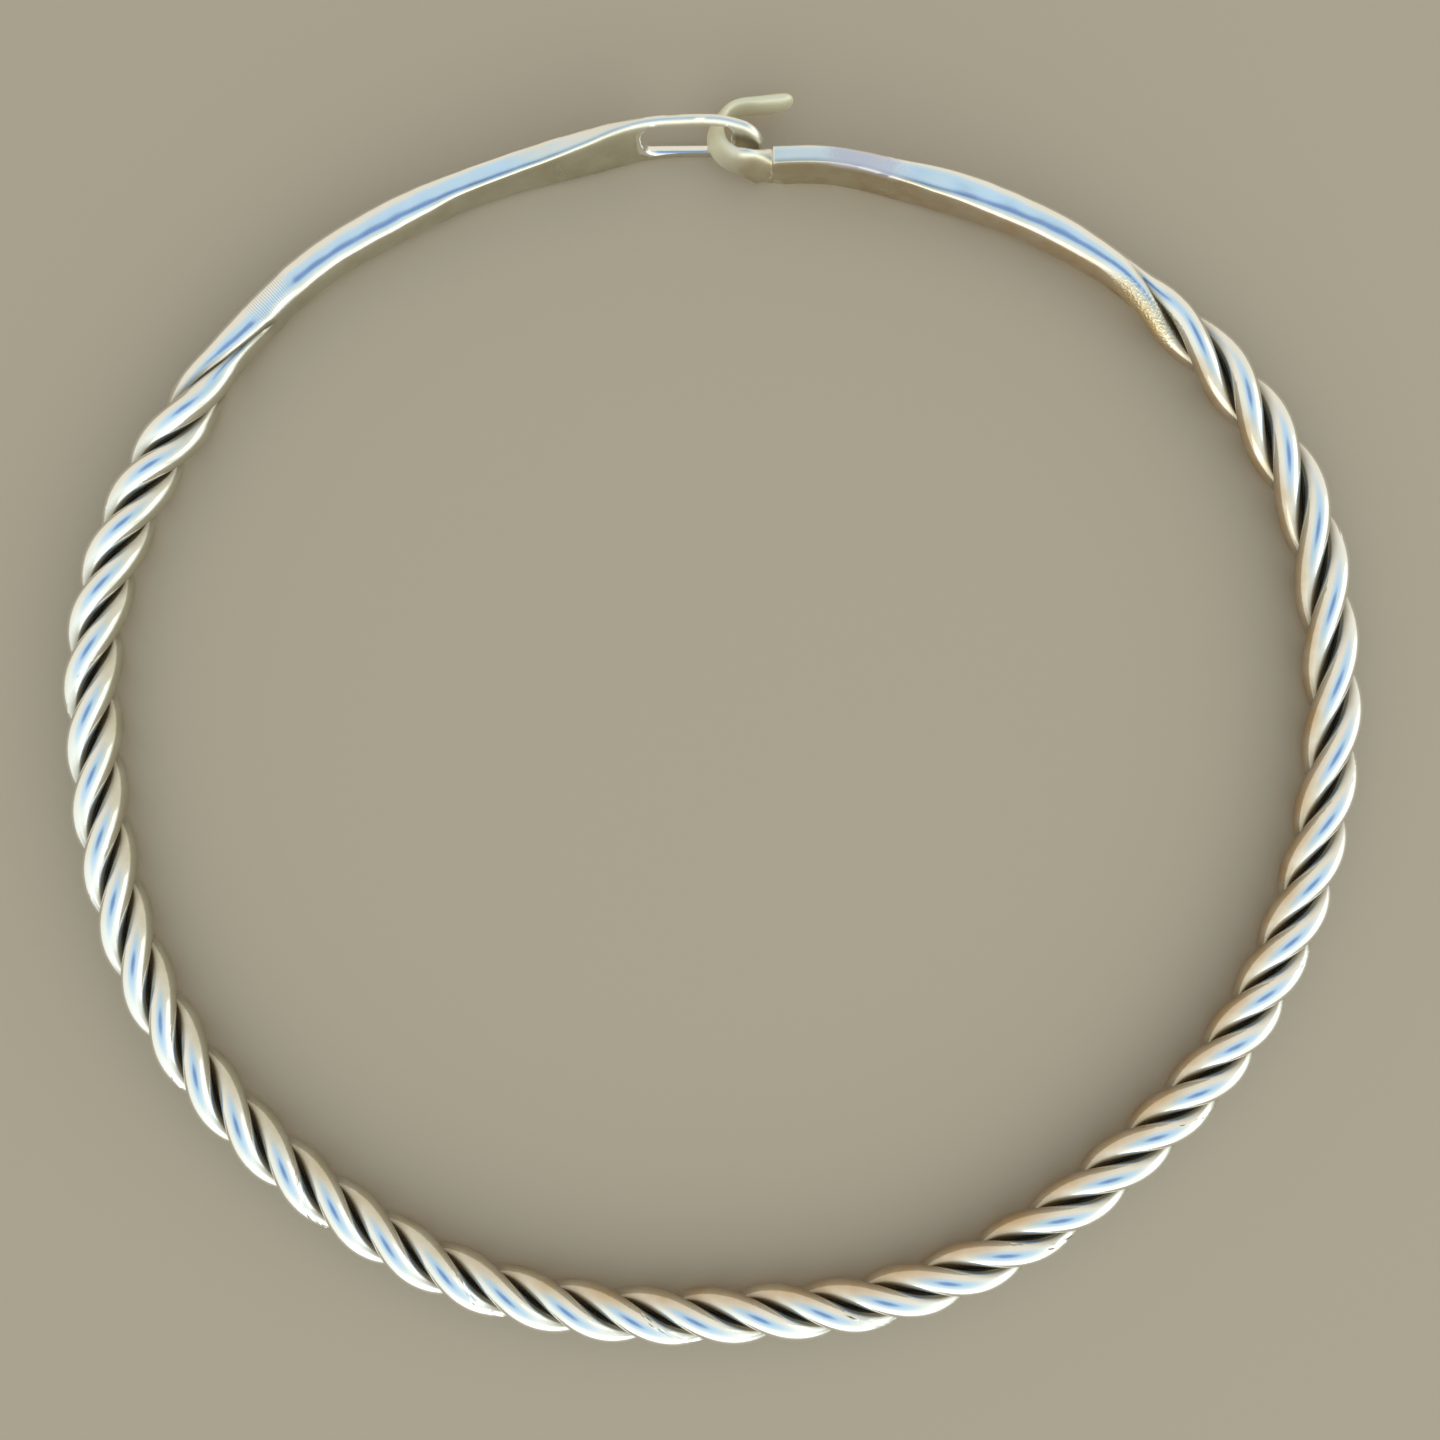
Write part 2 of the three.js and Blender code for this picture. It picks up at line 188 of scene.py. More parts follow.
@dataclass(frozen=True)
class RodTwist:
    """Three round rods twisted together, wound slack after the hook's bar and then tight."""

    rod_diameter: float = 2.95
    rods: int = 3
    lay: float = 22.06
    phase: float = -218.0
    hook_ease: float = 28.0
    eye_ease: float = 25.0
    slack_start: float = 53.0
    slack_end: float = 116.0
    tight_end: float = 162.0
    slack_turn: float = 128.0
    tight_turn: float = 45.0

    @property
    def rod_radius(self) -> float:
        """Half of a rod's thickness."""
        return self.rod_diameter / 2

    @property
    def half_spread(self) -> float:
        """Half of the angle between two rods."""
        return math.pi / self.rods

    @cached_property
    def pitch_radius(self) -> float:
        """Distance of each rod's middle from the rope's when the twisted rods just touch."""
        radius = self.rod_radius / math.sin(self.half_spread)
        for _ in range(8):
            stretch = math.hypot(1, 2 * math.pi * radius / self.lay)
            radius = self.rod_radius * math.hypot(1, stretch / math.tan(self.half_spread))
        return radius

    @property
    def rope_radius(self) -> float:
        """Half of the rope's thickness over the rods."""
        return self.pitch_radius + self.rod_radius

    @staticmethod
    def eased(length: Array, ease: float) -> Array:
        """Length twisted so far, with a slow start."""
        return np.where(length < ease, np.maximum(0, length) ** 2 / (2 * ease), length - ease / 2)

    def angle(self, s: Array, start: float, end: float) -> Array:
        """Angle of the first rod round the rope, from outward towards up.

        Args:
            s: Places along the ring.
            start: Where the twist starts.
            end: Where it ends.

        Returns:
            Angles in radians.
        """
        twisted = self.eased(s - start, self.hook_ease) - self.eased(s - end, self.eye_ease)
        slack = self.slack_turn * (1 - smooth(s, self.slack_start, self.slack_end))
        tight = self.tight_turn * (1 - smooth(s, self.slack_end, self.tight_end))
        return np.radians(self.phase + 360 * twisted / self.lay + slack - tight)

    def outline(self, around: Array, first: Array, stretch: Array) -> tuple[Array, Array]:
        """Outline of the three rods cut square across the rope, down to where they touch.

        Args:
            around: Share of the way round, from the crevice before the first rod.
            first: Angle of the first rod.
            stretch: How much longer than round the slanting rods are cut.

        Returns:
            The outline, and the same one with straight lines over the crevices.
        """
        rod = np.floor(around * self.rods)
        share = 2 * (around * self.rods - rod) - 1
        half_spread = self.half_spread
        touch = math.pi - np.arctan(stretch / math.tan(half_spread))
        beta = share * touch
        r, reach = self.rod_radius, self.pitch_radius
        rods = np.stack([reach + r * np.cos(beta), r * stretch * np.sin(beta)], axis=1)
        edge_x = reach + r * math.cos(half_spread)
        edge_y = r * stretch * math.sin(half_spread)
        flat = edge_x * math.cos(half_spread) + edge_y * math.sin(half_spread)
        past = np.clip((np.abs(beta) - half_spread) / (touch - half_spread), 0, 1)
        lid_x = edge_x + (flat * math.cos(half_spread) - edge_x) * past
        lid_y = (edge_y + (flat * math.sin(half_spread) - edge_y) * past) * np.sign(share)
        lid = np.where((np.abs(beta) > half_spread)[:, None], np.stack([lid_x, lid_y], axis=1), rods)
        turn = first + rod * 2 * half_spread
        return spun(rods, turn), spun(lid, turn)


def spun(points: Array, angles: Array) -> Array:
    """Points of an outline turned about its middle, each by its own angle."""
    x, y = points.T
    cos, sin = np.cos(angles), np.sin(angles)
    return np.stack([x * cos - y * sin, x * sin + y * cos], axis=1)


def forged(angle: Array, thickness: Array, height: Array, squareness: Array) -> Array:
    """Outline of hammered metal: a squareness of 2 is an oval, and more is squarer."""
    cos, sin = np.cos(angle), np.sin(angle)
    wide = np.abs(2 * cos / thickness) ** squareness + np.abs(2 * sin / height) ** squareness
    reach = wide ** (-1 / squareness)
    return np.stack([reach * cos, reach * sin], axis=1)


@dataclass(frozen=True)
class EyePlate:
    """Flat plate at one end, leaning outward, with a long slot between two wire-like limbs."""

    thickness: float = 1.45
    width: float = 6.9
    upper_limb: float = 0.95
    lower_limb: float = 1.45
    slot_length: float = 10.4
    slot_start_corner: float = 1.9
    slot_end_corner: float = 0.8
    end_length: float = 3.9
    lean: float = 14.0
    rounding: float = 2.6
    end_taper: float = 0.08
    edge_rounding: float = 0.55
    corner_segments: int = 10
    slot_cuts: int = 59

    @property
    def slot_height(self) -> float:
        """Height of the slot between the limbs."""
        return self.width - self.upper_limb - self.lower_limb

    @property
    def slot_raise(self) -> float:
        """Height of the slot's middle over the plate's."""
        return (self.lower_limb - self.upper_limb) / 2


@dataclass(frozen=True)
class HammeredEnds:
    """Bars hammered from the rods' straight ends, the strip on edge and the neck of the plate.

    A row has a place, from the hook's shoulder or the eye's end, and then the metal's thickness, height
    and squareness, or the rope's share of its full size.
    """

    hook_bar_length: float = 34.0
    eye_bar_length: float = 83.0
    strip_thickness: float = 2.25
    strip_height: float = 6.5
    lean_reach: float = 33.0
    edge_rounding: float = 0.3
    hook_end: tuple[Stretch, ...] = (
        (0, 2.25, 6.5, 9), (10, 2.25, 6.5, 9), (16, 2.8, 6.0, 8), (20.5, 3.6, 5.6, 5),
        (27.5, 4.1, 5.3, 3), (34, 4.15, 5.2, 2.6), (43, 3.75, 4.9, 2.2), (50, 4.6, 5.1, 2.1),
    )
    eye_end: tuple[Stretch, ...] = (
        (64, 4.3, 5.0, 2.4), (45, 4.2, 5.2, 3), (40, 3.85, 5.3, 3.5), (36, 3.15, 5.4, 4.5),
        (31, 2.85, 5.5, 6), (26, 2.8, 5.9, 6), (21, 2.3, 6.3, 6), (17, 1.8, 6.8, 4.5),
        (14, 1.45, 6.9, 3.4), (0, 1.45, 6.9, 3),
    )
    hook_rope: tuple[Pair, ...] = ((42, 0.67), (47, 0.82), (52, 0.92), (60, 0.985), (66, 1))
    eye_rope: tuple[Pair, ...] = ((80, 1), (73, 0.98), (68, 0.93), (64, 0.8))
    hook_rods_round: Pair = (43.0, 53.0)
    eye_rods_round: Pair = (78.0, 66.0)
    hook_crevices: tuple[Triple, ...] = ((0.25, 41.5, 45), (0.75, 45, 54))
    eye_crevices: tuple[Triple, ...] = ((0.55, 74, 87), (0.2, 65, 77), (0.25, 62, 63.5))
    crevice_thinning: float = 1.1
    rod_end_height: float = 0.16
    rod_end: Stretch = (61.8, 62.3, 62.3, 66.5)
    solder: Stretch = (41.5, 44.5, 50.0, 54.0)
    filed: Stretch = (57.0, 59.5, 63.0, 65.0)
    hook_pale: Pair = (2.0, 26.0)
    eye_pale: float = 34.0


@dataclass(frozen=True)
class RingLine:
    """Middle line of the ring as it was bent, as angles and shares of half its width."""

    half_width: float
    shoulder_angle: float = 83.9
    eye_end_angle: float = -275.1
    bends: Gauge = Gauge((
        (-275.1, 0.925), (-270, 0.943), (-265, 0.944), (-257, 0.9385), (-250, 0.9417), (-238, 0.9555),
        (-228, 0.972), (-218, 0.978), (-210, 0.98), (-204, 0.9895), (-188, 1.0035), (-176, 0.9952),
        (-152, 1.003), (-128, 0.987), (-116, 0.9832), (-104, 0.9718), (-86, 0.957), (-75, 0.969),
        (-64, 0.9745), (-48, 0.9705), (-32, 0.9845), (-4, 0.999), (8, 1.0055), (20, 1.0175),
        (28, 1.0105), (40, 0.9895), (52, 0.969), (64, 0.9415), (72, 0.9235), (78, 0.9165), (83.9, 0.9015),
    ))
    samples: int = 8000
    direction_step: float = 0.02

    def point(self, angle: Array) -> Array:
        """Points of the line at angles in degrees from +X."""
        radius = self.half_width * self.bends.at(angle)
        turn = np.radians(angle)
        return np.stack([radius * np.cos(turn), radius * np.sin(turn), 0 * turn], axis=1)

    @cached_property
    def measured(self) -> tuple[Array, Array]:
        """Angles along the line, and the length of metal up to each."""
        angles = np.linspace(self.shoulder_angle, self.eye_end_angle, self.samples)
        steps = np.linalg.norm(np.diff(self.point(angles), axis=0), axis=1)
        return angles, np.concatenate([[0], np.cumsum(steps)])

    @property
    def length(self) -> float:
        """Length of the line from the shoulder to the eye's end."""
        return float(self.measured[1][-1])

    def at(self, s: Array) -> tuple[Array, Array]:
        """Points of the line and its directions at places along it."""
        angles, lengths = self.measured
        angle = np.interp(s, lengths, angles)
        before, after = (self.point(angle + step) for step in (self.direction_step, -self.direction_step))
        return self.point(angle), unit(after - before)


def catmull_rom(points: Array, count: int) -> Array:
    """Smooth line through points, with its knots at the square roots of their distances.

    Args:
        points: The points to pass through, one row each.
        count: Points wanted on each stretch.

    Returns:
        Close points of the line, from the first point to the last.
    """
    ends = [2 * points[0] - points[1], *points, 2 * points[-1] - points[-2]]
    t = np.linspace(0, 1, count, endpoint=False)[:, None]
    line = []
    for before, a, b, after in zip(ends, ends[1:], ends[2:], ends[3:]):
        steps = (a - before, b - a, after - b)
        lead, span, trail = (math.sqrt(np.linalg.norm(step)) for step in steps)
        slope_a = ((a - before) / lead - (b - before) / (lead + span) + (b - a) / span) * span
        slope_b = ((b - a) / span - (after - a) / (span + trail) + (after - b) / trail) * span
        rise = t**2 * (3 - 2 * t)
        line.append(a + (b - a) * rise + slope_a * t * (1 - t) ** 2 - slope_b * t**2 * (1 - t))
    return np.concatenate([*line, points[-1:]])


# Blender pieces


def select_only(piece: Piece) -> None:
    """Makes a piece the only selected and the active one."""
    bpy.ops.object.select_all(action="DESELECT")
    piece.select_set(True)
    bpy.context.view_layer.objects.active = piece


@contextmanager
def editing() -> Iterator[None]:
    """Holds the active piece in edit mode for the steps inside."""
    bpy.ops.object.mode_set(mode="EDIT")
    yield
    bpy.ops.object.mode_set(mode="OBJECT")


def select_nothing_in(piece: Piece, kind: str) -> None:
    """Deselects all of a piece's mesh, so that vertices or edges can be selected in code."""
    select_only(piece)
    with editing():
        bpy.ops.mesh.select_mode(type=kind)
        bpy.ops.mesh.select_all(action="DESELECT")


def straight_blank(name: str, sides: int, cuts: tuple[int, ...]) -> Piece:
    """Round blank of radius 1 and length 1 along Z, cut across into equal steps.

    Args:
        name: Name of the piece.
        sides: Points round it.
        cuts: Cuts of each pass along its length, each pass cutting the steps of the last.

    Returns:
        The blank, closed by a fan at both ends.
    """
    bpy.ops.object.select_all(action="DESELECT")
    bpy.ops.mesh.primitive_cylinder_add(vertices=sides, radius=1, depth=1, end_fill_type="TRIFAN")
    blank = bpy.context.object
    blank.name = name
    for number in cuts:
        mesh = blank.data
        heights = coordinates(mesh)[:, 2]
        for part in (*mesh.vertices, *mesh.polygons):
            part.select = False
        for edge in mesh.edges:
            a, b = edge.vertices
            edge.select = bool(abs(heights[a] - heights[b]) > TINY)
        with editing():
            bpy.ops.mesh.select_mode(type="EDGE")
            bpy.ops.mesh.subdivide(number_cuts=number)
    return blank


def coordinates(mesh: bpy.types.Mesh) -> Array:
    """Places of a mesh's vertices, one row each."""
    flat = np.empty(3 * len(mesh.vertices))
    mesh.vertices.foreach_get("co", flat)
    return flat.reshape(-1, 3)


def move_to(piece: Piece, points: Array) -> None:
    """Puts a piece's vertices at new places, with its object at the origin and its faces outward."""
    piece.matrix_world.identity()
    piece.data.vertices.foreach_set("co", np.ascontiguousarray(points, dtype=np.float32).ravel())
    piece.data.update()
    select_only(piece)
    with editing():
        bpy.ops.mesh.select_all(action="SELECT")
        bpy.ops.mesh.normals_make_consistent(inside=False)


def combine(piece: Piece, other: Piece, operation: str) -> None:
    """Cuts a closed piece with another, or joins the two, and takes the other away."""
    select_only(piece)
    modifier = piece.modifiers.new("combine", "BOOLEAN")
    modifier.operation = operation
    modifier.object = other
    modifier.solver = "MANIFOLD"
    bpy.ops.object.modifier_apply(modifier=modifier.name)
    bpy.data.objects.remove(other)


def set_marks(piece: Piece, marks: dict[Mark, Array]) -> None:
    """Stores marks on a piece's vertices, each as one number or as three."""
    for mark, values in marks.items():
        kind, key = ("FLOAT_VECTOR", "vector") if values.ndim == 2 else ("FLOAT", "value")
        attribute = piece.data.attributes.new(mark.value, kind, "POINT")
        attribute.data.foreach_set(key, np.ascontiguousarray(values, dtype=np.float32).ravel())


@dataclass(frozen=True)
class Blank:
    """Where a blank's vertices lie: shares of its height and of the way round, and 0 on its axis."""

    height: Array
    around: Array
    reach: Array

    @classmethod
    def of(cls, piece: Piece, sides: int) -> "Blank":
        """Reads the vertices of a blank with a number of sides."""
        points = coordinates(piece.data)
        angle = np.arctan2(points[:, 1], points[:, 0])
        step = np.round(angle * sides / (2 * math.pi)) % sides
        reach = np.hypot(points[:, 0], points[:, 1])
        return cls(points[:, 2] + 0.5, step / sides, np.round(reach))

    def grain(self, s: Array, radius: float) -> Array:
        """Places for the grain of the finish, which runs straight along the metal."""
        turn = 2 * math.pi * self.around
        return np.stack([s, radius * np.cos(turn), radius * np.sin(turn)], axis=1)


@dataclass
class Hook:
    """Tongue that passes through the eye, turns back beneath it and ends in a leaf-like tip."""

    thickness: float = 1.25
    height: float = 3.2
    tongue_height: float = 4.7
    tongue_end: float = 2.0
    shoulder_inset: float = 0.06
    root_swing: float = 0.14
    root_swing_reach: Stretch = (-4.5, -3.0, -2.6, -1.2)
    root_length: float = 1.7
    root_squareness: Pair = (7.0, 9.0)
    bend_radius: float = 3.45
    tip_length: float = 5.8
    tip_height: float = 2.4
    tip_thickness: float = 1.0
    tip_middle_thickness: float = 1.45
    tip_flare: float = 5.0
    tip_tilt: float = 7.0
    leg_tilt: float = 30.0
    tip_rounding: float = 1.0
    tip_bluntness: float = 0.2
    rise: float = 0.04
    squareness: float = 3.0
    roundness: float = 2.3
    clearance: float = 0.4
    slot_clearance: float = 0.25
    bend_step: float = 20.0
    line_samples: int = 60
    direction_step: float = 0.05
    step_growth: float = 1.15
    sides: int = 48
    cuts: tuple[int, ...] = (9, 13)


@dataclass
class NeckRing:
    """The whole ring: twisted rods, hammered ends, eye and hook, worked from one piece of metal."""

    width: float = 149.5
    shoulder_reach: float = 1.5
    shoulder_side: float = 0.36
    merge_distance: float = 0.05
    blend_repeats: int = 60
    smooth_angle: float = 42.0
    flat_depth: float = 0.15
    end_lift: float = 0.03
    twist: RodTwist = field(default_factory=RodTwist)
    ends: HammeredEnds = field(default_factory=HammeredEnds)
    eye: EyePlate = field(default_factory=EyePlate)
    hook: Hook = field(default_factory=Hook)
    wave_length: float = 5.5
    wave_depth: float = 0.035
    wave_sink: float = 0.4
    mark_length: float = 2.4
    mark_depth: float = 0.07
    even_end: Pair = (4.0, 10.0)
    box_share: float = 0.9999
    points_per_rod: int = 28
    cuts: tuple[int, ...] = (19, 39)
    step_shares: Pair = (0.008, 0.98)
    middle: Array = field(default_factory=lambda: np.zeros(3), init=False)

    @cached_property
    def line(self) -> RingLine:
        """Middle line of the ring."""
        return RingLine(self.width / 2 - self.twist.rope_radius)

    @property
    def rest_height(self) -> float:
        """Height of the middle line over the surface that the ring lies on."""
        return self.twist.rope_radius - self.flat_depth

    @property
    def slot_end(self) -> float:
        """Where the slot ends, before the eye's solid end."""
        return self.line.length - self.eye.end_length

    @property
    def slot_start(self) -> float:
        """Where the slot starts."""
        return self.slot_end - self.eye.slot_length

    def gauge(self, by_hook: tuple, by_eye: tuple, column: int = 1) -> Gauge:
        """One measure of the metal along the ring, from the rows by the hook and those by the eye."""
        hook = [(row[0], row[column]) for row in by_hook]
        eye = [(self.line.length - row[0], row[column]) for row in by_eye]
        return Gauge((*hook, *eye))

    def hammered(self, s: Array) -> tuple[Array, Array, Array]:
        """Thickness, height and squareness of the hammered metal along the ring."""
        return tuple(self.gauge(self.ends.hook_end, self.ends.eye_end, i).at(s) for i in (1, 2, 3))

    def rod_angle(self, s: Array) -> Array:
        """Angle of the first rod along the ring."""
        end = self.line.length - self.ends.eye_bar_length
        return self.twist.angle(s, self.ends.hook_bar_length, end)

    def places(self, s: Array) -> Places:
        """Middles and directions of the metal at places on the ring, its ends raised to lie flush."""
        lean_start = self.line.length - self.ends.lean_reach
        lean = math.radians(self.eye.lean) * smooth(s, lean_start, self.slot_start)
        thickness, height, _ = self.hammered(s)
        half = (height * np.cos(lean) + thickness * np.sin(lean)) / 2
        middle, forward = self.line.at(s)
        middle[:, 2] = np.maximum(0, half - self.rest_height + self.end_lift)
        outward, upward = across(forward, lean, np.tile(UP, (len(s), 1)))
        return Places(middle, forward, outward, upward)

    def stations(self, share: Array) -> Array:
        """Places along the ring of a blank's steps, closer at the shoulder and the eye's end."""
        first, last = self.step_shares
        start, end = 2 * self.ends.edge_rounding, self.line.length - self.eye.rounding
        even = np.interp(share, [0, first, last], [0, start, end])
        past = np.clip((share - last) / (1 - last), 0, 1)
        return np.where(share > last, end + self.eye.rounding * np.sin(math.pi / 2 * past), even)

    def twisted_share(self, s: Array) -> Array:
        """How far the metal is still round rods: 0 in the bars and 1 in the twist."""
        eye_side = (self.line.length - reach for reach in self.ends.eye_rods_round)
        return between(s, (*self.ends.hook_rods_round, *eye_side))

    def ring(self) -> Piece:
        """Ring from the shoulder to the eye's rounded end, without its slot."""
        sides = self.twist.rods * self.points_per_rod
        piece = straight_blank("torc", sides, self.cuts)
        blank = Blank.of(piece, sides)
        s = self.stations(blank.height)
        angle = self.rod_angle(s)
        turn_per_length = self.rod_angle(s + 0.5) - self.rod_angle(s - 0.5)
        stretch = np.hypot(1, self.twist.pitch_radius * turn_per_length)
        size = self.gauge(self.ends.hook_rope, self.ends.eye_rope).at(s)[:, None]
        rods, lid = (outline * size for outline in self.twist.outline(blank.around, angle, stretch))
        past = np.maximum(0, (s - self.line.length) / self.eye.rounding + 1)
        narrowing = np.maximum(self.eye.end_taper, np.sqrt(np.maximum(0, 1 - past**2)))
        from_edge = 1 - np.clip(s / self.ends.edge_rounding, 0, 1)
        inset = 2 * self.ends.edge_rounding * (1 - np.sqrt(1 - from_edge**2))
        thickness, height, squareness = self.hammered(s)
        across_bar = angle + 2 * math.pi * blank.around - self.twist.half_spread
        bar = forged(across_bar, thickness * np.sqrt(narrowing), height * narrowing - inset, squareness)
        share = self.twisted_share(s)
        crevice = self.pressed_crevice(s, rods - lid)
        outline = mixed(bar, lid, share) + crevice
        inward = -outline[:, 0] / np.linalg.norm(outline, axis=1)
        places = self.places(s)
        from_eye = self.line.length - s
        rod_end = self.ends.rod_end_height * between(from_eye, self.ends.rod_end)
        uneven = self.unevenness(s, share, places.put(outline)) + rod_end * smooth(inward, 0.2, 0.7)
        outline = outline * (1 + uneven / np.linalg.norm(outline, axis=1))[:, None]
        move_to(piece, places.put(outline * blank.reach[:, None]))
        # Crevice tarnish and painted shade: grows with the crevice's depth, standing in for the shade
        # between the rods
        crevice_tarnish_and_shade = np.sqrt(np.linalg.norm(crevice, axis=1) * np.linalg.norm(rods - lid, axis=1))
        half_width = (1 - share) * thickness / 2 + share * self.twist.rope_radius
        set_marks(piece, {
            Mark.GRAIN: blank.grain(s, self.twist.rope_radius),
            Mark.CREVICE_TARNISH_AND_SHADE: crevice_tarnish_and_shade * blank.reach,
            Mark.CLASP: self.clasp_share(s),
            # Painted reflection of the warm floor on the inward sides of the rods and bars
            Mark.PAINTED_REFLECTION: smooth(-outline[:, 0] / half_width, 0.25, 1.0) * blank.reach,
            Mark.SOLDER: smooth(inward, 0.1, 0.7) * between(s, self.ends.solder) * blank.reach,
            Mark.FILED: between(from_eye, self.ends.filed),
        })
        return piece

    def pressed_crevice(self, s: Array, crevice: Array) -> Array:
        """Crevices between the rods, shallower and thinner where they were hammered towards the bars.

        Args:
            s: Places along the ring.
            crevice: How the crevices of the free rods go in, as a way across the rope.

        Returns:
            How they go in at each place.
        """
        into_rope = stepped(s, self.ends.hook_crevices)
        depth = into_rope * stepped(self.line.length - s, self.ends.eye_crevices)
        amount = np.linalg.norm(crevice, axis=1)
        thinner = (amount / amount.max()) ** (self.ends.crevice_thinning * (1 - depth))
        return crevice * (depth * thinner)[:, None]

    def unevenness(self, s: Array, share: Array, points: Array) -> Array:
        """How far the hand-made surface stands in or out: long waves, and hammer marks on the bars.

        Args:
            s: Places along the ring.
            share: How far the metal is still round rods.
            points: The even surface.

        Returns:
            Heights over the even surface, below 0 for a hollow, and none at the eye's end.
        """
        lengths = (self.wave_length, self.mark_length)
        waves, marks = (np.array([noise.noise(Vector(p / length)) for p in points]) for length in lengths)
        height = self.wave_depth * (waves - self.wave_sink) + self.mark_depth * (1 - share) * marks
        return height * smooth(self.line.length - s, *self.even_end)

    def clasp_share(self, s: Array) -> Array:
        """How pale and dull the metal is towards the clasp."""
        near_eye = smooth(s, self.line.length - self.ends.eye_pale, self.slot_start)
        return np.maximum(1 - smooth(s, *self.ends.hook_pale), near_eye)

    def slot_cutter(self) -> Piece:
        """Cutter for the eye's slot, bent with the plate and flared at the plate's faces."""
        eye = self.eye
        depth = 3 * eye.thickness
        bpy.ops.object.select_all(action="DESELECT")
        bpy.ops.mesh.primitive_cube_add(size=1, scale=(eye.slot_length, eye.slot_height, depth))
        cutter = bpy.context.object
        bpy.ops.object.transform_apply(location=False, rotation=False, scale=True)
        for side, corner in ((-1, eye.slot_start_corner), (1, eye.slot_end_corner)):
            self.select_upright_edges(cutter, side)
            with editing():
                bpy.ops.mesh.bevel(offset=corner, segments=eye.corner_segments)
        self.select_upright_edges(cutter)
        with editing():
            bpy.ops.mesh.subdivide(number_cuts=eye.slot_cuts)
        points = coordinates(cutter.data)
        near_face = np.clip((np.abs(points[:, 2]) - eye.thickness / 2) / eye.edge_rounding + 1, 0, 1)
        flare = 2 * eye.edge_rounding * (1 - np.sqrt(1 - near_face**2))
        along = points[:, 0] * (1 + flare / eye.slot_length)
        up = points[:, 1] * (1 + flare / eye.slot_height) + eye.slot_raise
        places = self.places((self.slot_start + self.slot_end) / 2 + along)
        move_to(cutter, places.put(np.stack([points[:, 2], up], axis=1)))
        return cutter

    @staticmethod
    def select_upright_edges(piece: Piece, side: int = 0) -> None:
        """Selects a piece's edges along Z: all of them, or those at its end towards -X or +X."""
        select_nothing_in(piece, "EDGE")
        points = coordinates(piece.data)
        for edge in piece.data.edges:
            a, b = edge.vertices
            upright = np.allclose(points[a][:2], points[b][:2], atol=TINY)
            at_side = side == 0 or side * points[a][0] > np.abs(points[:, 0]).max() - TINY
            edge.select = bool(upright and at_side)

    def hook_line(self) -> tuple[Array, Array]:
        """Line of the hook from its tip, through the eye, to inside the strip's shoulder.

        Returns:
            Close points of the line, and the direction that counts as up in the eye.
        """
        hook, eye = self.hook, self.eye
        turn_in_plate = eye.thickness**2 / (2 * (hook.bend_radius - hook.thickness))
        tilt = math.radians(hook.leg_tilt)
        power = hook.squareness / (hook.squareness - 1)
        sides = (hook.thickness * math.cos(tilt), hook.height * math.sin(tilt))
        half_leg = sum((side / 2) ** power for side in sides) ** (1 / power)
        passage_at = self.slot_end - hook.slot_clearance - half_leg - turn_in_plate
        passage = self.places(np.array([passage_at])).middle[0]
        radial = unit(np.array([[passage[0], passage[1], 0]]))
        along = np.cross(radial, UP)
        lean = np.array([-math.radians(eye.lean)])
        outward, upward = turned(radial, along, lean)[0], turned(UP[None], along, lean)[0]
        along = along[0]
        eye_end = (self.places(np.array([self.line.length])).middle[0] - passage) @ outward
        leg_offset = eye_end - eye.thickness / 2 - hook.clearance - hook.thickness / 2

        def bend_point(angle: float, beyond: float = 0.0) -> Array:
            """Point of the bend at an angle, or beyond its end on the straight tip."""
            length = hook.bend_radius * (math.pi - angle) + beyond
            onward = hook.bend_radius * (1 + math.cos(angle)) + beyond * math.sin(angle)
            out = leg_offset + hook.bend_radius * (1 + math.sin(angle)) - beyond * math.cos(angle)
            return passage + along * onward + outward * out + upward * hook.rise * length

        flare = math.pi / 2 + math.radians(hook.tip_flare)
        end = 1.5 * math.pi
        root = self.places(np.array([0.0, hook.thickness])).middle
        root[:, 2] -= (self.ends.strip_height - hook.tongue_height) / 2 - hook.shoulder_inset
        bend_steps = math.ceil(math.degrees(end - flare) / hook.bend_step)
        points = [bend_point(flare, share * hook.tip_length) for share in (1, 0.67, 0.33)]
        points += [bend_point(angle) for angle in np.linspace(flare, end, bend_steps + 1)]
        return catmull_rom(np.array([*points, *root]), hook.line_samples), upward

    def hook_piece(self) -> Piece:
        """Hook from its blunt tip to the tongue's root, which is buried in the strip."""
        hook = self.hook
        piece = straight_blank("hook", hook.sides, hook.cuts)
        blank = Blank.of(piece, hook.sides)
        line, eye_up = self.hook_line()
        lengths = np.concatenate([[0], np.cumsum(np.linalg.norm(np.diff(line, axis=0), axis=1))])
        length = lengths[-1]
        s = length * blank.height ** hook.step_growth
        middle, ahead, behind = (
            np.stack([np.interp(s + beyond, lengths, line[:, i]) for i in range(3)], axis=1)
            for beyond in (0, hook.direction_step, -hook.direction_step)
        )
        passage = hook.tip_length + hook.bend_radius * math.pi / 2
        bend_end = passage + hook.bend_radius * math.pi / 2
        forward = unit(ahead - behind)
        top = mixed(np.tile(eye_up, (len(s), 1)), np.tile(UP, (len(s), 1)), smooth(s, bend_end, length))
        root = self.ends.strip_thickness - 2 * hook.shoulder_inset
        tilts = Gauge((
            (0, hook.tip_tilt), (hook.tip_length, hook.tip_tilt), (passage, hook.leg_tilt),
            (bend_end, hook.leg_tilt / 4), (length, 0),
        ))
        outward, upward = across(forward, np.radians(tilts.at(s)), top)
        heights = Gauge((
            (0, hook.tip_height), (hook.tip_length * 0.4, hook.height * 0.98), (passage, hook.height),
            (passage + 1.4 * self.eye.thickness, hook.height),
            (bend_end, (hook.height + hook.tongue_height) / 2),
            (length - hook.tongue_end, hook.tongue_height), (length, hook.tongue_height),
        ))
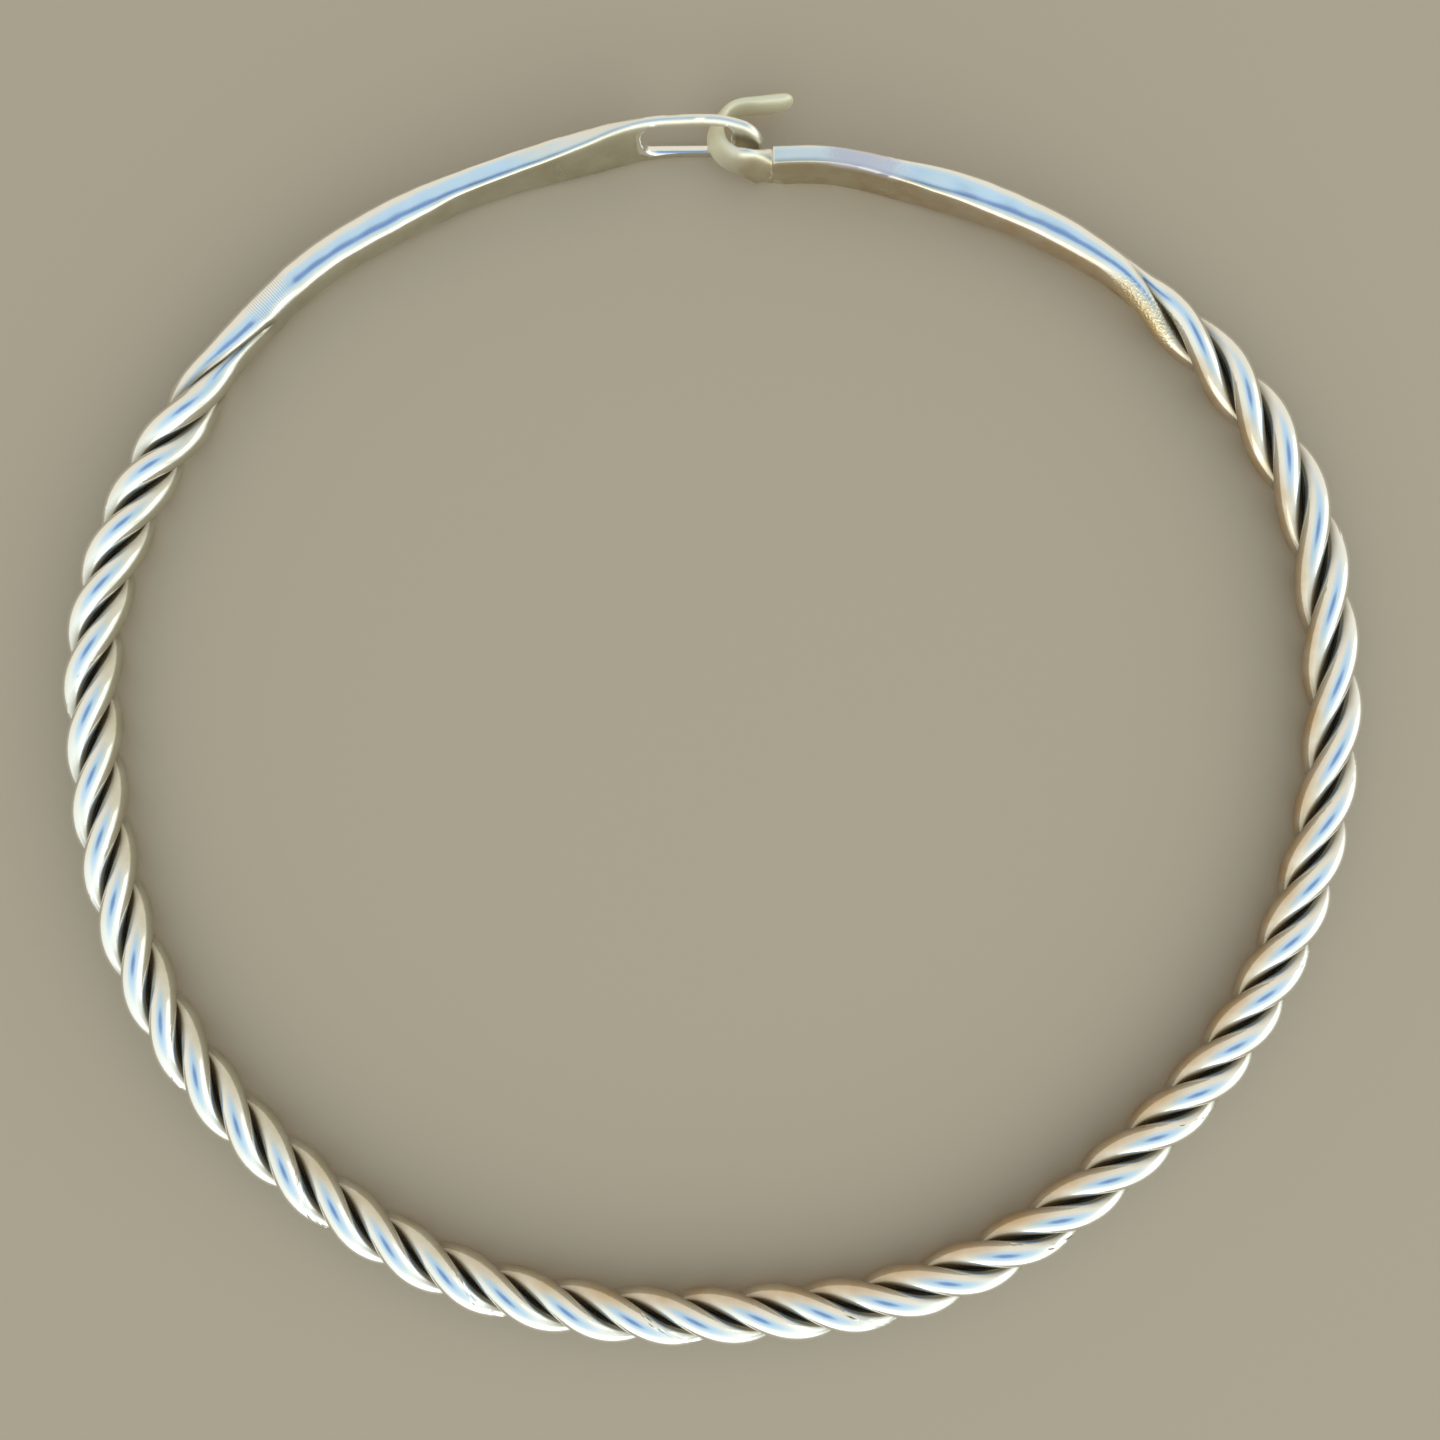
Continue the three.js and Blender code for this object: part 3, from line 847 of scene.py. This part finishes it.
        thicknesses = Gauge((
            (0, hook.tip_thickness), (hook.tip_length * 0.3, hook.tip_middle_thickness),
            (hook.tip_length, hook.thickness), (bend_end, hook.thickness),
            (length - hook.root_length, root), (length, root),
        ))
        squareness = Gauge((
            (0, hook.roundness), (bend_end, hook.roundness),
            (length - hook.root_length, hook.root_squareness[0]), (length, hook.root_squareness[1]),
        ))
        lift = np.where(s < passage, (hook.height - heights.at(s)) / 2, 0)
        swing = hook.root_swing * between(s - length, hook.root_swing_reach)
        middle = middle + upward * lift[:, None] + outward * swing[:, None]
        tip = np.sqrt(1 - (1 - np.clip(s / hook.tip_rounding, 0, 1)) ** 2)
        blunt = hook.tip_bluntness + (1 - hook.tip_bluntness) * tip
        thickness, height = thicknesses.at(s) * blunt, heights.at(s) * blunt
        outline = forged(2 * math.pi * blank.around, thickness, height, squareness.at(s))
        places = Places(middle, forward, outward, upward)
        move_to(piece, places.put(outline * blank.reach[:, None]))
        # Painted reflection on the hook's inward face, growing from none at the tip to full past the bend
        facing = -2 * outline[:, 0] / thickness * dots(outward, unit(middle * [1, 1, 0]))
        painted_reflection_reach = smooth(s, hook.tip_length, bend_end)
        set_marks(piece, {
            Mark.GRAIN: blank.grain(s, hook.height / 2),
            Mark.CREVICE_TARNISH_AND_SHADE: 0 * s,
            Mark.CLASP: 2 - smooth(s, passage, bend_end),
            Mark.PAINTED_REFLECTION: smooth(facing, 0.1, 0.9) * painted_reflection_reach * blank.reach,
            Mark.SOLDER: 0 * s,
            Mark.FILED: 0 * s,
        })
        return piece

    def build(self) -> Piece:
        """Works the whole ring and lays it where the solid is.

        Returns:
            The finished piece, in metres.
        """
        ring = self.ring()
        log.info("ring: %d vertices, %.1f mm long", len(ring.data.vertices), self.line.length)
        combine(ring, self.slot_cutter(), "DIFFERENCE")
        log.info("slot cut: %d vertices", len(ring.data.vertices))
        combine(ring, self.hook_piece(), "UNION")
        log.info("hook joined: %d vertices", len(ring.data.vertices))
        self.select_shoulder_sides(ring)
        with editing():
            bpy.ops.mesh.remove_doubles(threshold=self.merge_distance)
            bpy.ops.mesh.vertices_smooth(factor=0.5, repeat=self.blend_repeats)
        bpy.ops.object.shade_smooth_by_angle(angle=math.radians(self.smooth_angle))
        self.select_shoulder_sides(ring)
        with editing():
            bpy.ops.mesh.mark_sharp(clear=True)
        self.lay_down(ring)
        return ring

    def select_shoulder_sides(self, piece: Piece) -> None:
        """Selects the sides where the tongue's root blends into the strip, below the step on top."""
        shoulder = self.places(np.array([0.0]))
        from_shoulder = coordinates(piece.data) - shoulder.middle
        ways = (shoulder.forward, shoulder.outward, shoulder.upward)
        onward, out, up = (from_shoulder @ way[0] for way in ways)
        step = self.hook.tongue_height - self.ends.strip_height / 2
        out = np.abs(out) / self.ends.strip_thickness
        near = (np.abs(onward) < self.shoulder_reach) & (out < 2)
        on_side = near & (out > self.shoulder_side) & (up < step)
        select_nothing_in(piece, "VERT")
        for vertex, chosen in zip(piece.data.vertices, on_side):
            vertex.select = bool(chosen)

    def lay_down(self, piece: Piece) -> None:
        """Wears the underside flat and moves the ring to where the solid lies, inside its box."""
        low, high = (np.array(corner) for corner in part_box("torc"))
        points = coordinates(piece.data)
        points[:, 2] = np.maximum(points[:, 2], -self.rest_height) + self.rest_height
        self.middle = (points.max(0) + points.min(0)) / 2
        points[:, :2] -= self.middle[:2]
        points *= MM
        room = (high - low) / (points.max(0) - points.min(0))
        points *= min(1.0, *room) * self.box_share
        points[:, :2] += ((low + high) / 2)[:2]
        move_to(piece, points)

    def in_frame(self, x: float, y: float, z: float) -> Vector:
        """Place in the frame, in metres, of a point of the ring's own."""
        return Vector((x - self.middle[0], y - self.middle[1], z + self.rest_height)) * MM


# Finishes


class Wire:
    """Output of a shader node that takes part in sums as a number does."""

    def __init__(self, bench: "Bench", socket: bpy.types.NodeSocket) -> None:
        """Keeps the bench that the nodes stand on and the socket itself."""
        self.bench = bench
        self.socket = socket

    def math(self, operation: str, *values: "Wire | float") -> "Wire":
        """Adds a Math node with the given values."""
        inputs = dict(enumerate(values))
        return self.bench.node("ShaderNodeMath", {"operation": operation}, inputs)

    def __add__(self, other: "Wire | float") -> "Wire":
        """Sum."""
        return self.math("ADD", self, other)

    def __radd__(self, other: float) -> "Wire":
        """Sum with a number first."""
        return self.math("ADD", other, self)

    def __sub__(self, other: "Wire | float") -> "Wire":
        """Difference."""
        return self.math("SUBTRACT", self, other)

    def __rsub__(self, other: float) -> "Wire":
        """Difference from a number."""
        return self.math("SUBTRACT", other, self)

    def __mul__(self, other: "Wire | float") -> "Wire":
        """Product."""
        return self.math("MULTIPLY", self, other)

    def __rmul__(self, other: float) -> "Wire":
        """Product with a number first."""
        return self.math("MULTIPLY", other, self)

    def sine(self) -> "Wire":
        """Sine."""
        return self.math("SINE", self)

    def rise(self, start: float, end: float) -> "Wire":
        """Smooth rise from 0 at the start to 1 at the end."""
        settings = {"interpolation_type": "SMOOTHSTEP"}
        inputs = {"Value": self, 1: start, 2: end}
        return self.bench.node("ShaderNodeMapRange", settings, inputs, "Result")


class Bench:
    """Nodes under work, with one method that adds them."""

    def __init__(self, owner: bpy.types.Material | bpy.types.World) -> None:
        """Clears the nodes of a material or of the surround."""
        owner.use_nodes = True
        self.tree = owner.node_tree
        self.tree.nodes.clear()

    def node(
        self,
        kind: str,
        settings: dict[str, object] | None = None,
        inputs: dict[str | int, object] | None = None,
        output: str | int = 0,
    ) -> Wire:
        """Adds a node.

        Args:
            kind: The node's type.
            settings: Its properties, set before its sockets.
            inputs: Values or wires by the socket's name or number.
            output: The output that is wanted.

        Returns:
            The wire of that output.
        """
        made = self.tree.nodes.new(kind)
        for key, value in (settings or {}).items():
            setattr(made, key, value)
        for key, value in (inputs or {}).items():
            socket = made.inputs[key]
            if isinstance(value, Wire):
                self.tree.links.new(value.socket, socket)
            else:
                socket.default_value = value
        return Wire(self, made.outputs[output] if len(made.outputs) else None)

    def mark(self, mark: Mark) -> Wire:
        """Reads a mark of the mesh."""
        output = "Vector" if mark is Mark.GRAIN else "Fac"
        return self.node("ShaderNodeAttribute", {"attribute_name": mark.value}, output=output)

    def scaled(self, vector: Wire, factors: Triple) -> Wire:
        """Vector with each part multiplied."""
        return self.node("ShaderNodeVectorMath", {"operation": "MULTIPLY"}, {0: vector, 1: factors})

    def towards(self, vector: Wire, direction: Triple) -> Wire:
        """How far a vector reaches along a direction."""
        settings = {"operation": "DOT_PRODUCT"}
        return self.node("ShaderNodeVectorMath", settings, {0: vector, 1: direction}, "Value")

    def speckle(self, vector: Wire, scale: float, detail: float = 3.0, rough: float = 0.55) -> Wire:
        """Cloudy noise from 0 to 1."""
        inputs = {"Vector": vector, "Scale": scale, "Detail": detail, "Roughness": rough}
        return self.node("ShaderNodeTexNoise", {"noise_dimensions": "3D"}, inputs, "Fac")

    def blend(self, share: Wire | float, a: object, b: object) -> Wire:
        """Mix of two colours."""
        return self.node("ShaderNodeMix", {"data_type": "RGBA"}, {0: share, 6: a, 7: b}, 2)

    def finish(self, surface: Wire, output: str = "ShaderNodeOutputMaterial") -> None:
        """Links the surface to the output."""
        self.node(output, None, {"Surface": surface})


@dataclass(frozen=True)
class WornSilver:
    """Old silver: bright on the rods, paler and duller on the hammered ends, black in the crevices from
    tarnish and painted shade, with a painted warm reflection on the inward sides.
    """

    bright: Colour = (0.93, 0.92, 0.89, 1)
    cream: Colour = (0.9, 0.86, 0.74, 1)
    gold: Colour = (0.86, 0.66, 0.34, 1)
    # Crevice colours: brown tarnish and near-black soot, both also painted shade between the rods
    tarnish_and_shade: Colour = (0.19, 0.15, 0.09, 1)
    soot_and_shade: Colour = (0.016, 0.015, 0.011, 1)
    # Painted reflections on the inward sides: rust towards one side of the ring, olive towards the other
    rust_reflection: Colour = (0.62, 0.42, 0.22, 1)
    olive_reflection: Colour = (0.58, 0.55, 0.42, 1)
    bone: Colour = (0.82, 0.76, 0.56, 1)
    # Darker blue-grey laid into the file strokes
    file_mark_blue_grey: Colour = (0.3, 0.38, 0.5, 1)
    stain: Colour = (0.7, 0.64, 0.68, 1)
    roughness: float = 0.14
    clasp_roughness: float = 0.2
    file_pitch: float = 0.29
    relief: float = 0.3
    relief_depth: float = 0.03

    def material(self) -> bpy.types.Material:
        """Builds the finish."""
        material = bpy.data.materials.new("worn silver")
        bench = Bench(material)
        place = bench.scaled(bench.node("ShaderNodeTexCoord", output="Object"), (1 / MM, 1 / MM, 1 / MM))
        crevice, clasp, solder, filed, painted_reflection, grain = (bench.mark(mark) for mark in Mark)
        cloud = bench.speckle(place, 0.3)
        fine = bench.speckle(place, 2.2, 4, 0.6)
        drawn = bench.speckle(bench.scaled(grain, (0.25, 4, 4)), 1.0, 3, 0.6)
        grit = bench.speckle(place, 3.4, 1, 0.4).rise(0.4, 0.7) * solder
        # Which side of the ring a point lies on, with a cloudy wobble, to choose the painted reflection's
        # colour
        side = bench.towards(place, (1, -0.35, 0)) + (cloud - 0.5) * 30
        x, y, z = (bench.towards(place, way) for way in ((1, 0, 0), (0, 1, 0), (0, 0, 1)))
        over_strip = y.rise(45, 55) * z.rise(5.3, 6.0)
        stained = (x + fine * 3).rise(13.5, 16) * (1 - (x + fine * 4).rise(21, 25)) * over_strip
        dull = (clasp - 1).rise(0, 1)
        along_strokes = bench.towards(grain, (2 * math.pi / self.file_pitch, 0, 0))
        strokes = (along_strokes + fine).sine() * filed
        # Tarnish and painted shade in the crevices: brown at their edges, near black deep inside
        tarnish_and_shade_share = (crevice + (cloud - 0.5) * 0.15).rise(0.04, 0.7)
        soot_and_shade_share = (crevice + (fine - 0.5) * 0.3).rise(0.7, 1.4)
        warm = cloud.rise(0.4, 0.75) * 0.35 + clasp * 0.5
        colour = bench.blend(warm, self.bright, self.cream)
        colour = bench.blend(dull, colour, self.bone)
        # Painted warm reflection on the inward sides, olive or rust by the side of the ring
        painted_reflection_tint = bench.blend(side.rise(-40, 45), self.olive_reflection, self.rust_reflection)
        painted_reflection = painted_reflection * (clasp * 0.2 + cloud.rise(0.25, 0.7) * 0.3 + 0.6)
        colour = bench.blend(painted_reflection, colour, painted_reflection_tint)
        colour = bench.blend(stained * 0.85, colour, self.stain)
        colour = bench.blend(solder * 0.6 - grit * 0.35, colour, self.gold)
        # Crevice tarnish and painted shade laid over the colour
        colour = bench.blend(tarnish_and_shade_share * 0.85, colour, self.tarnish_and_shade)
        colour = bench.blend(soot_and_shade_share, colour, self.soot_and_shade)
        roughness = (drawn - 0.5) * 0.08 + fine * 0.07 + solder * 0.15 + clasp * self.clasp_roughness
        roughness = roughness + soot_and_shade_share * 0.35 + stained * 0.15 + self.roughness
        # Darker blue-grey along the file strokes
        colour = bench.blend(strokes.rise(0.1, 0.9) * 0.35, colour, self.file_mark_blue_grey)
        height = drawn * 0.3 + fine * 0.45 + grit * 6 + strokes * 3
        depth = self.relief_depth * MM
        relief = {"Strength": self.relief, "Distance": depth, "Height": height}
        bump = bench.node("ShaderNodeBump", None, relief)
        bench.finish(bench.node("ShaderNodeBsdfPrincipled", None, {
            "Base Color": colour,
            "Roughness": roughness,
            "Metallic": 1 - soot_and_shade_share * 0.8 - dull * 0.45,
            "Normal": bump,
        }))
        return material


@dataclass(frozen=True)
class PalePlaster:
    """Matt pale surface that the ring lies on."""

    colour: Colour = (0.45, 0.365, 0.265, 1)

    def material(self) -> bpy.types.Material:
        """Builds the finish."""
        material = bpy.data.materials.new("pale surface")
        bench = Bench(material)
        inputs = {"Base Color": self.colour, "Roughness": 0.9}
        bench.finish(bench.node("ShaderNodeBsdfPrincipled", None, inputs))
        return material


@dataclass(frozen=True)
class SoftSky:
    """Light from all round: white in front, warm behind, blue above and deeper straight overhead."""

    front: Colour = (0.93, 1.0, 0.94, 1)
    back: Colour = (0.91, 0.86, 0.73, 1)
    pale_blue: Colour = (0.55, 0.78, 0.98, 1)
    pale_reach: Pair = (22.0, 48.0)
    blue: Colour = (0.17, 0.3, 0.6, 1)
    blue_reach: Pair = (5.0, 21.0)
    brighter_front: float = 0.12

    def build(self) -> bpy.types.World:
        """Makes the surround from the direction of the light alone."""
        world = bpy.data.worlds.new("soft sky")
        bench = Bench(world)
        direction = bench.node("ShaderNodeTexCoord", output="Generated")
        behind = bench.towards(direction, (-0.3, 0.95, 0))
        height = bench.towards(direction, (0, 0, 1))
        colour = bench.blend(behind.rise(-0.5, 0.8), self.front, self.back)
        for blue, (core, edge) in ((self.pale_blue, self.pale_reach), (self.blue, self.blue_reach)):
            above = height.rise(math.cos(math.radians(edge)), math.cos(math.radians(core)))
            colour = bench.blend(above, colour, blue)
        strength = 1 - behind * self.brighter_front
        light = bench.node("ShaderNodeBackground", None, {"Color": colour, "Strength": strength})
        bench.finish(light, "ShaderNodeOutputWorld")
        return world


@dataclass(frozen=True)
class SoftBox:
    """Soft light: a lit panel that faces the ring."""

    name: str
    place: Triple
    size: Pair
    colour: Triple
    radiance: float
    spread: float = 180.0

    def build(self) -> Piece:
        """Hangs the panel at its place, turned to the ring's middle."""
        lamp = bpy.data.lights.new(self.name, "AREA")
        lamp.shape = "RECTANGLE"
        lamp.size, lamp.size_y = self.size
        lamp.color = self.colour
        lamp.energy = self.radiance * 4 * self.size[0] * self.size[1]
        lamp.spread = math.radians(self.spread)
        panel = bpy.data.objects.new(self.name, lamp)
        bpy.context.scene.collection.objects.link(panel)
        panel.location = self.place
        panel.rotation_euler = (-Vector(self.place)).to_track_quat("-Z", "Y").to_euler()
        return panel


@dataclass(frozen=True)
class Studio:
    """Pale floor, soft panels and the camera straight above."""

    floor_size: float = 4.0
    camera_place: Pair = (0.92, 0.23)
    camera_height: float = 161.5
    lens: float = 35.0
    panels: tuple[SoftBox, ...] = (
        SoftBox("front panel", (0.1, -1.0, 0.42), (1.3, 0.5), (0.96, 1.0, 0.96), 0.9),
        SoftBox("right panel", (1.0, -0.1, 0.5), (1.1, 0.5), (0.93, 1.0, 1.0), 0.75),
    )

    def build(self, ring: NeckRing) -> None:
        """Sets the floor, the light and the camera round the ring."""
        bpy.ops.object.select_all(action="DESELECT")
        bpy.ops.mesh.primitive_plane_add(size=self.floor_size, location=(0, 0, -0.02 * MM))
        floor = bpy.context.object
        floor.name = "floor"
        floor.data.materials.append(PalePlaster().material())
        lamps = [panel.build() for panel in self.panels]
        bpy.context.scene.world = SoftSky().build()
        camera = bpy.data.objects.new("camera", bpy.data.cameras.new("camera"))
        bpy.context.scene.collection.objects.link(camera)
        camera.data.lens = self.lens
        camera.data.clip_start = 0.01
        camera.location = ring.in_frame(*self.camera_place, self.camera_height)
        bpy.context.scene.camera = camera
        bpy.context.scene.view_settings.view_transform = "Standard"


def main() -> None:
    """Works the ring, gives it its finish and lights it."""
    logging.basicConfig(level=logging.INFO, format="%(name)s: %(message)s")
    ring = NeckRing()
    torc = ring.build()
    torc.data.materials.clear()
    torc.data.materials.append(WornSilver().material())
    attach(torc, "root")
    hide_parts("torc")
    log.info("torc: %d faces", len(torc.data.polygons))
    Studio().build(ring)
    log.info("studio: floor, %d panels and camera", len(Studio.panels))


if __name__ == "__main__":
    main()
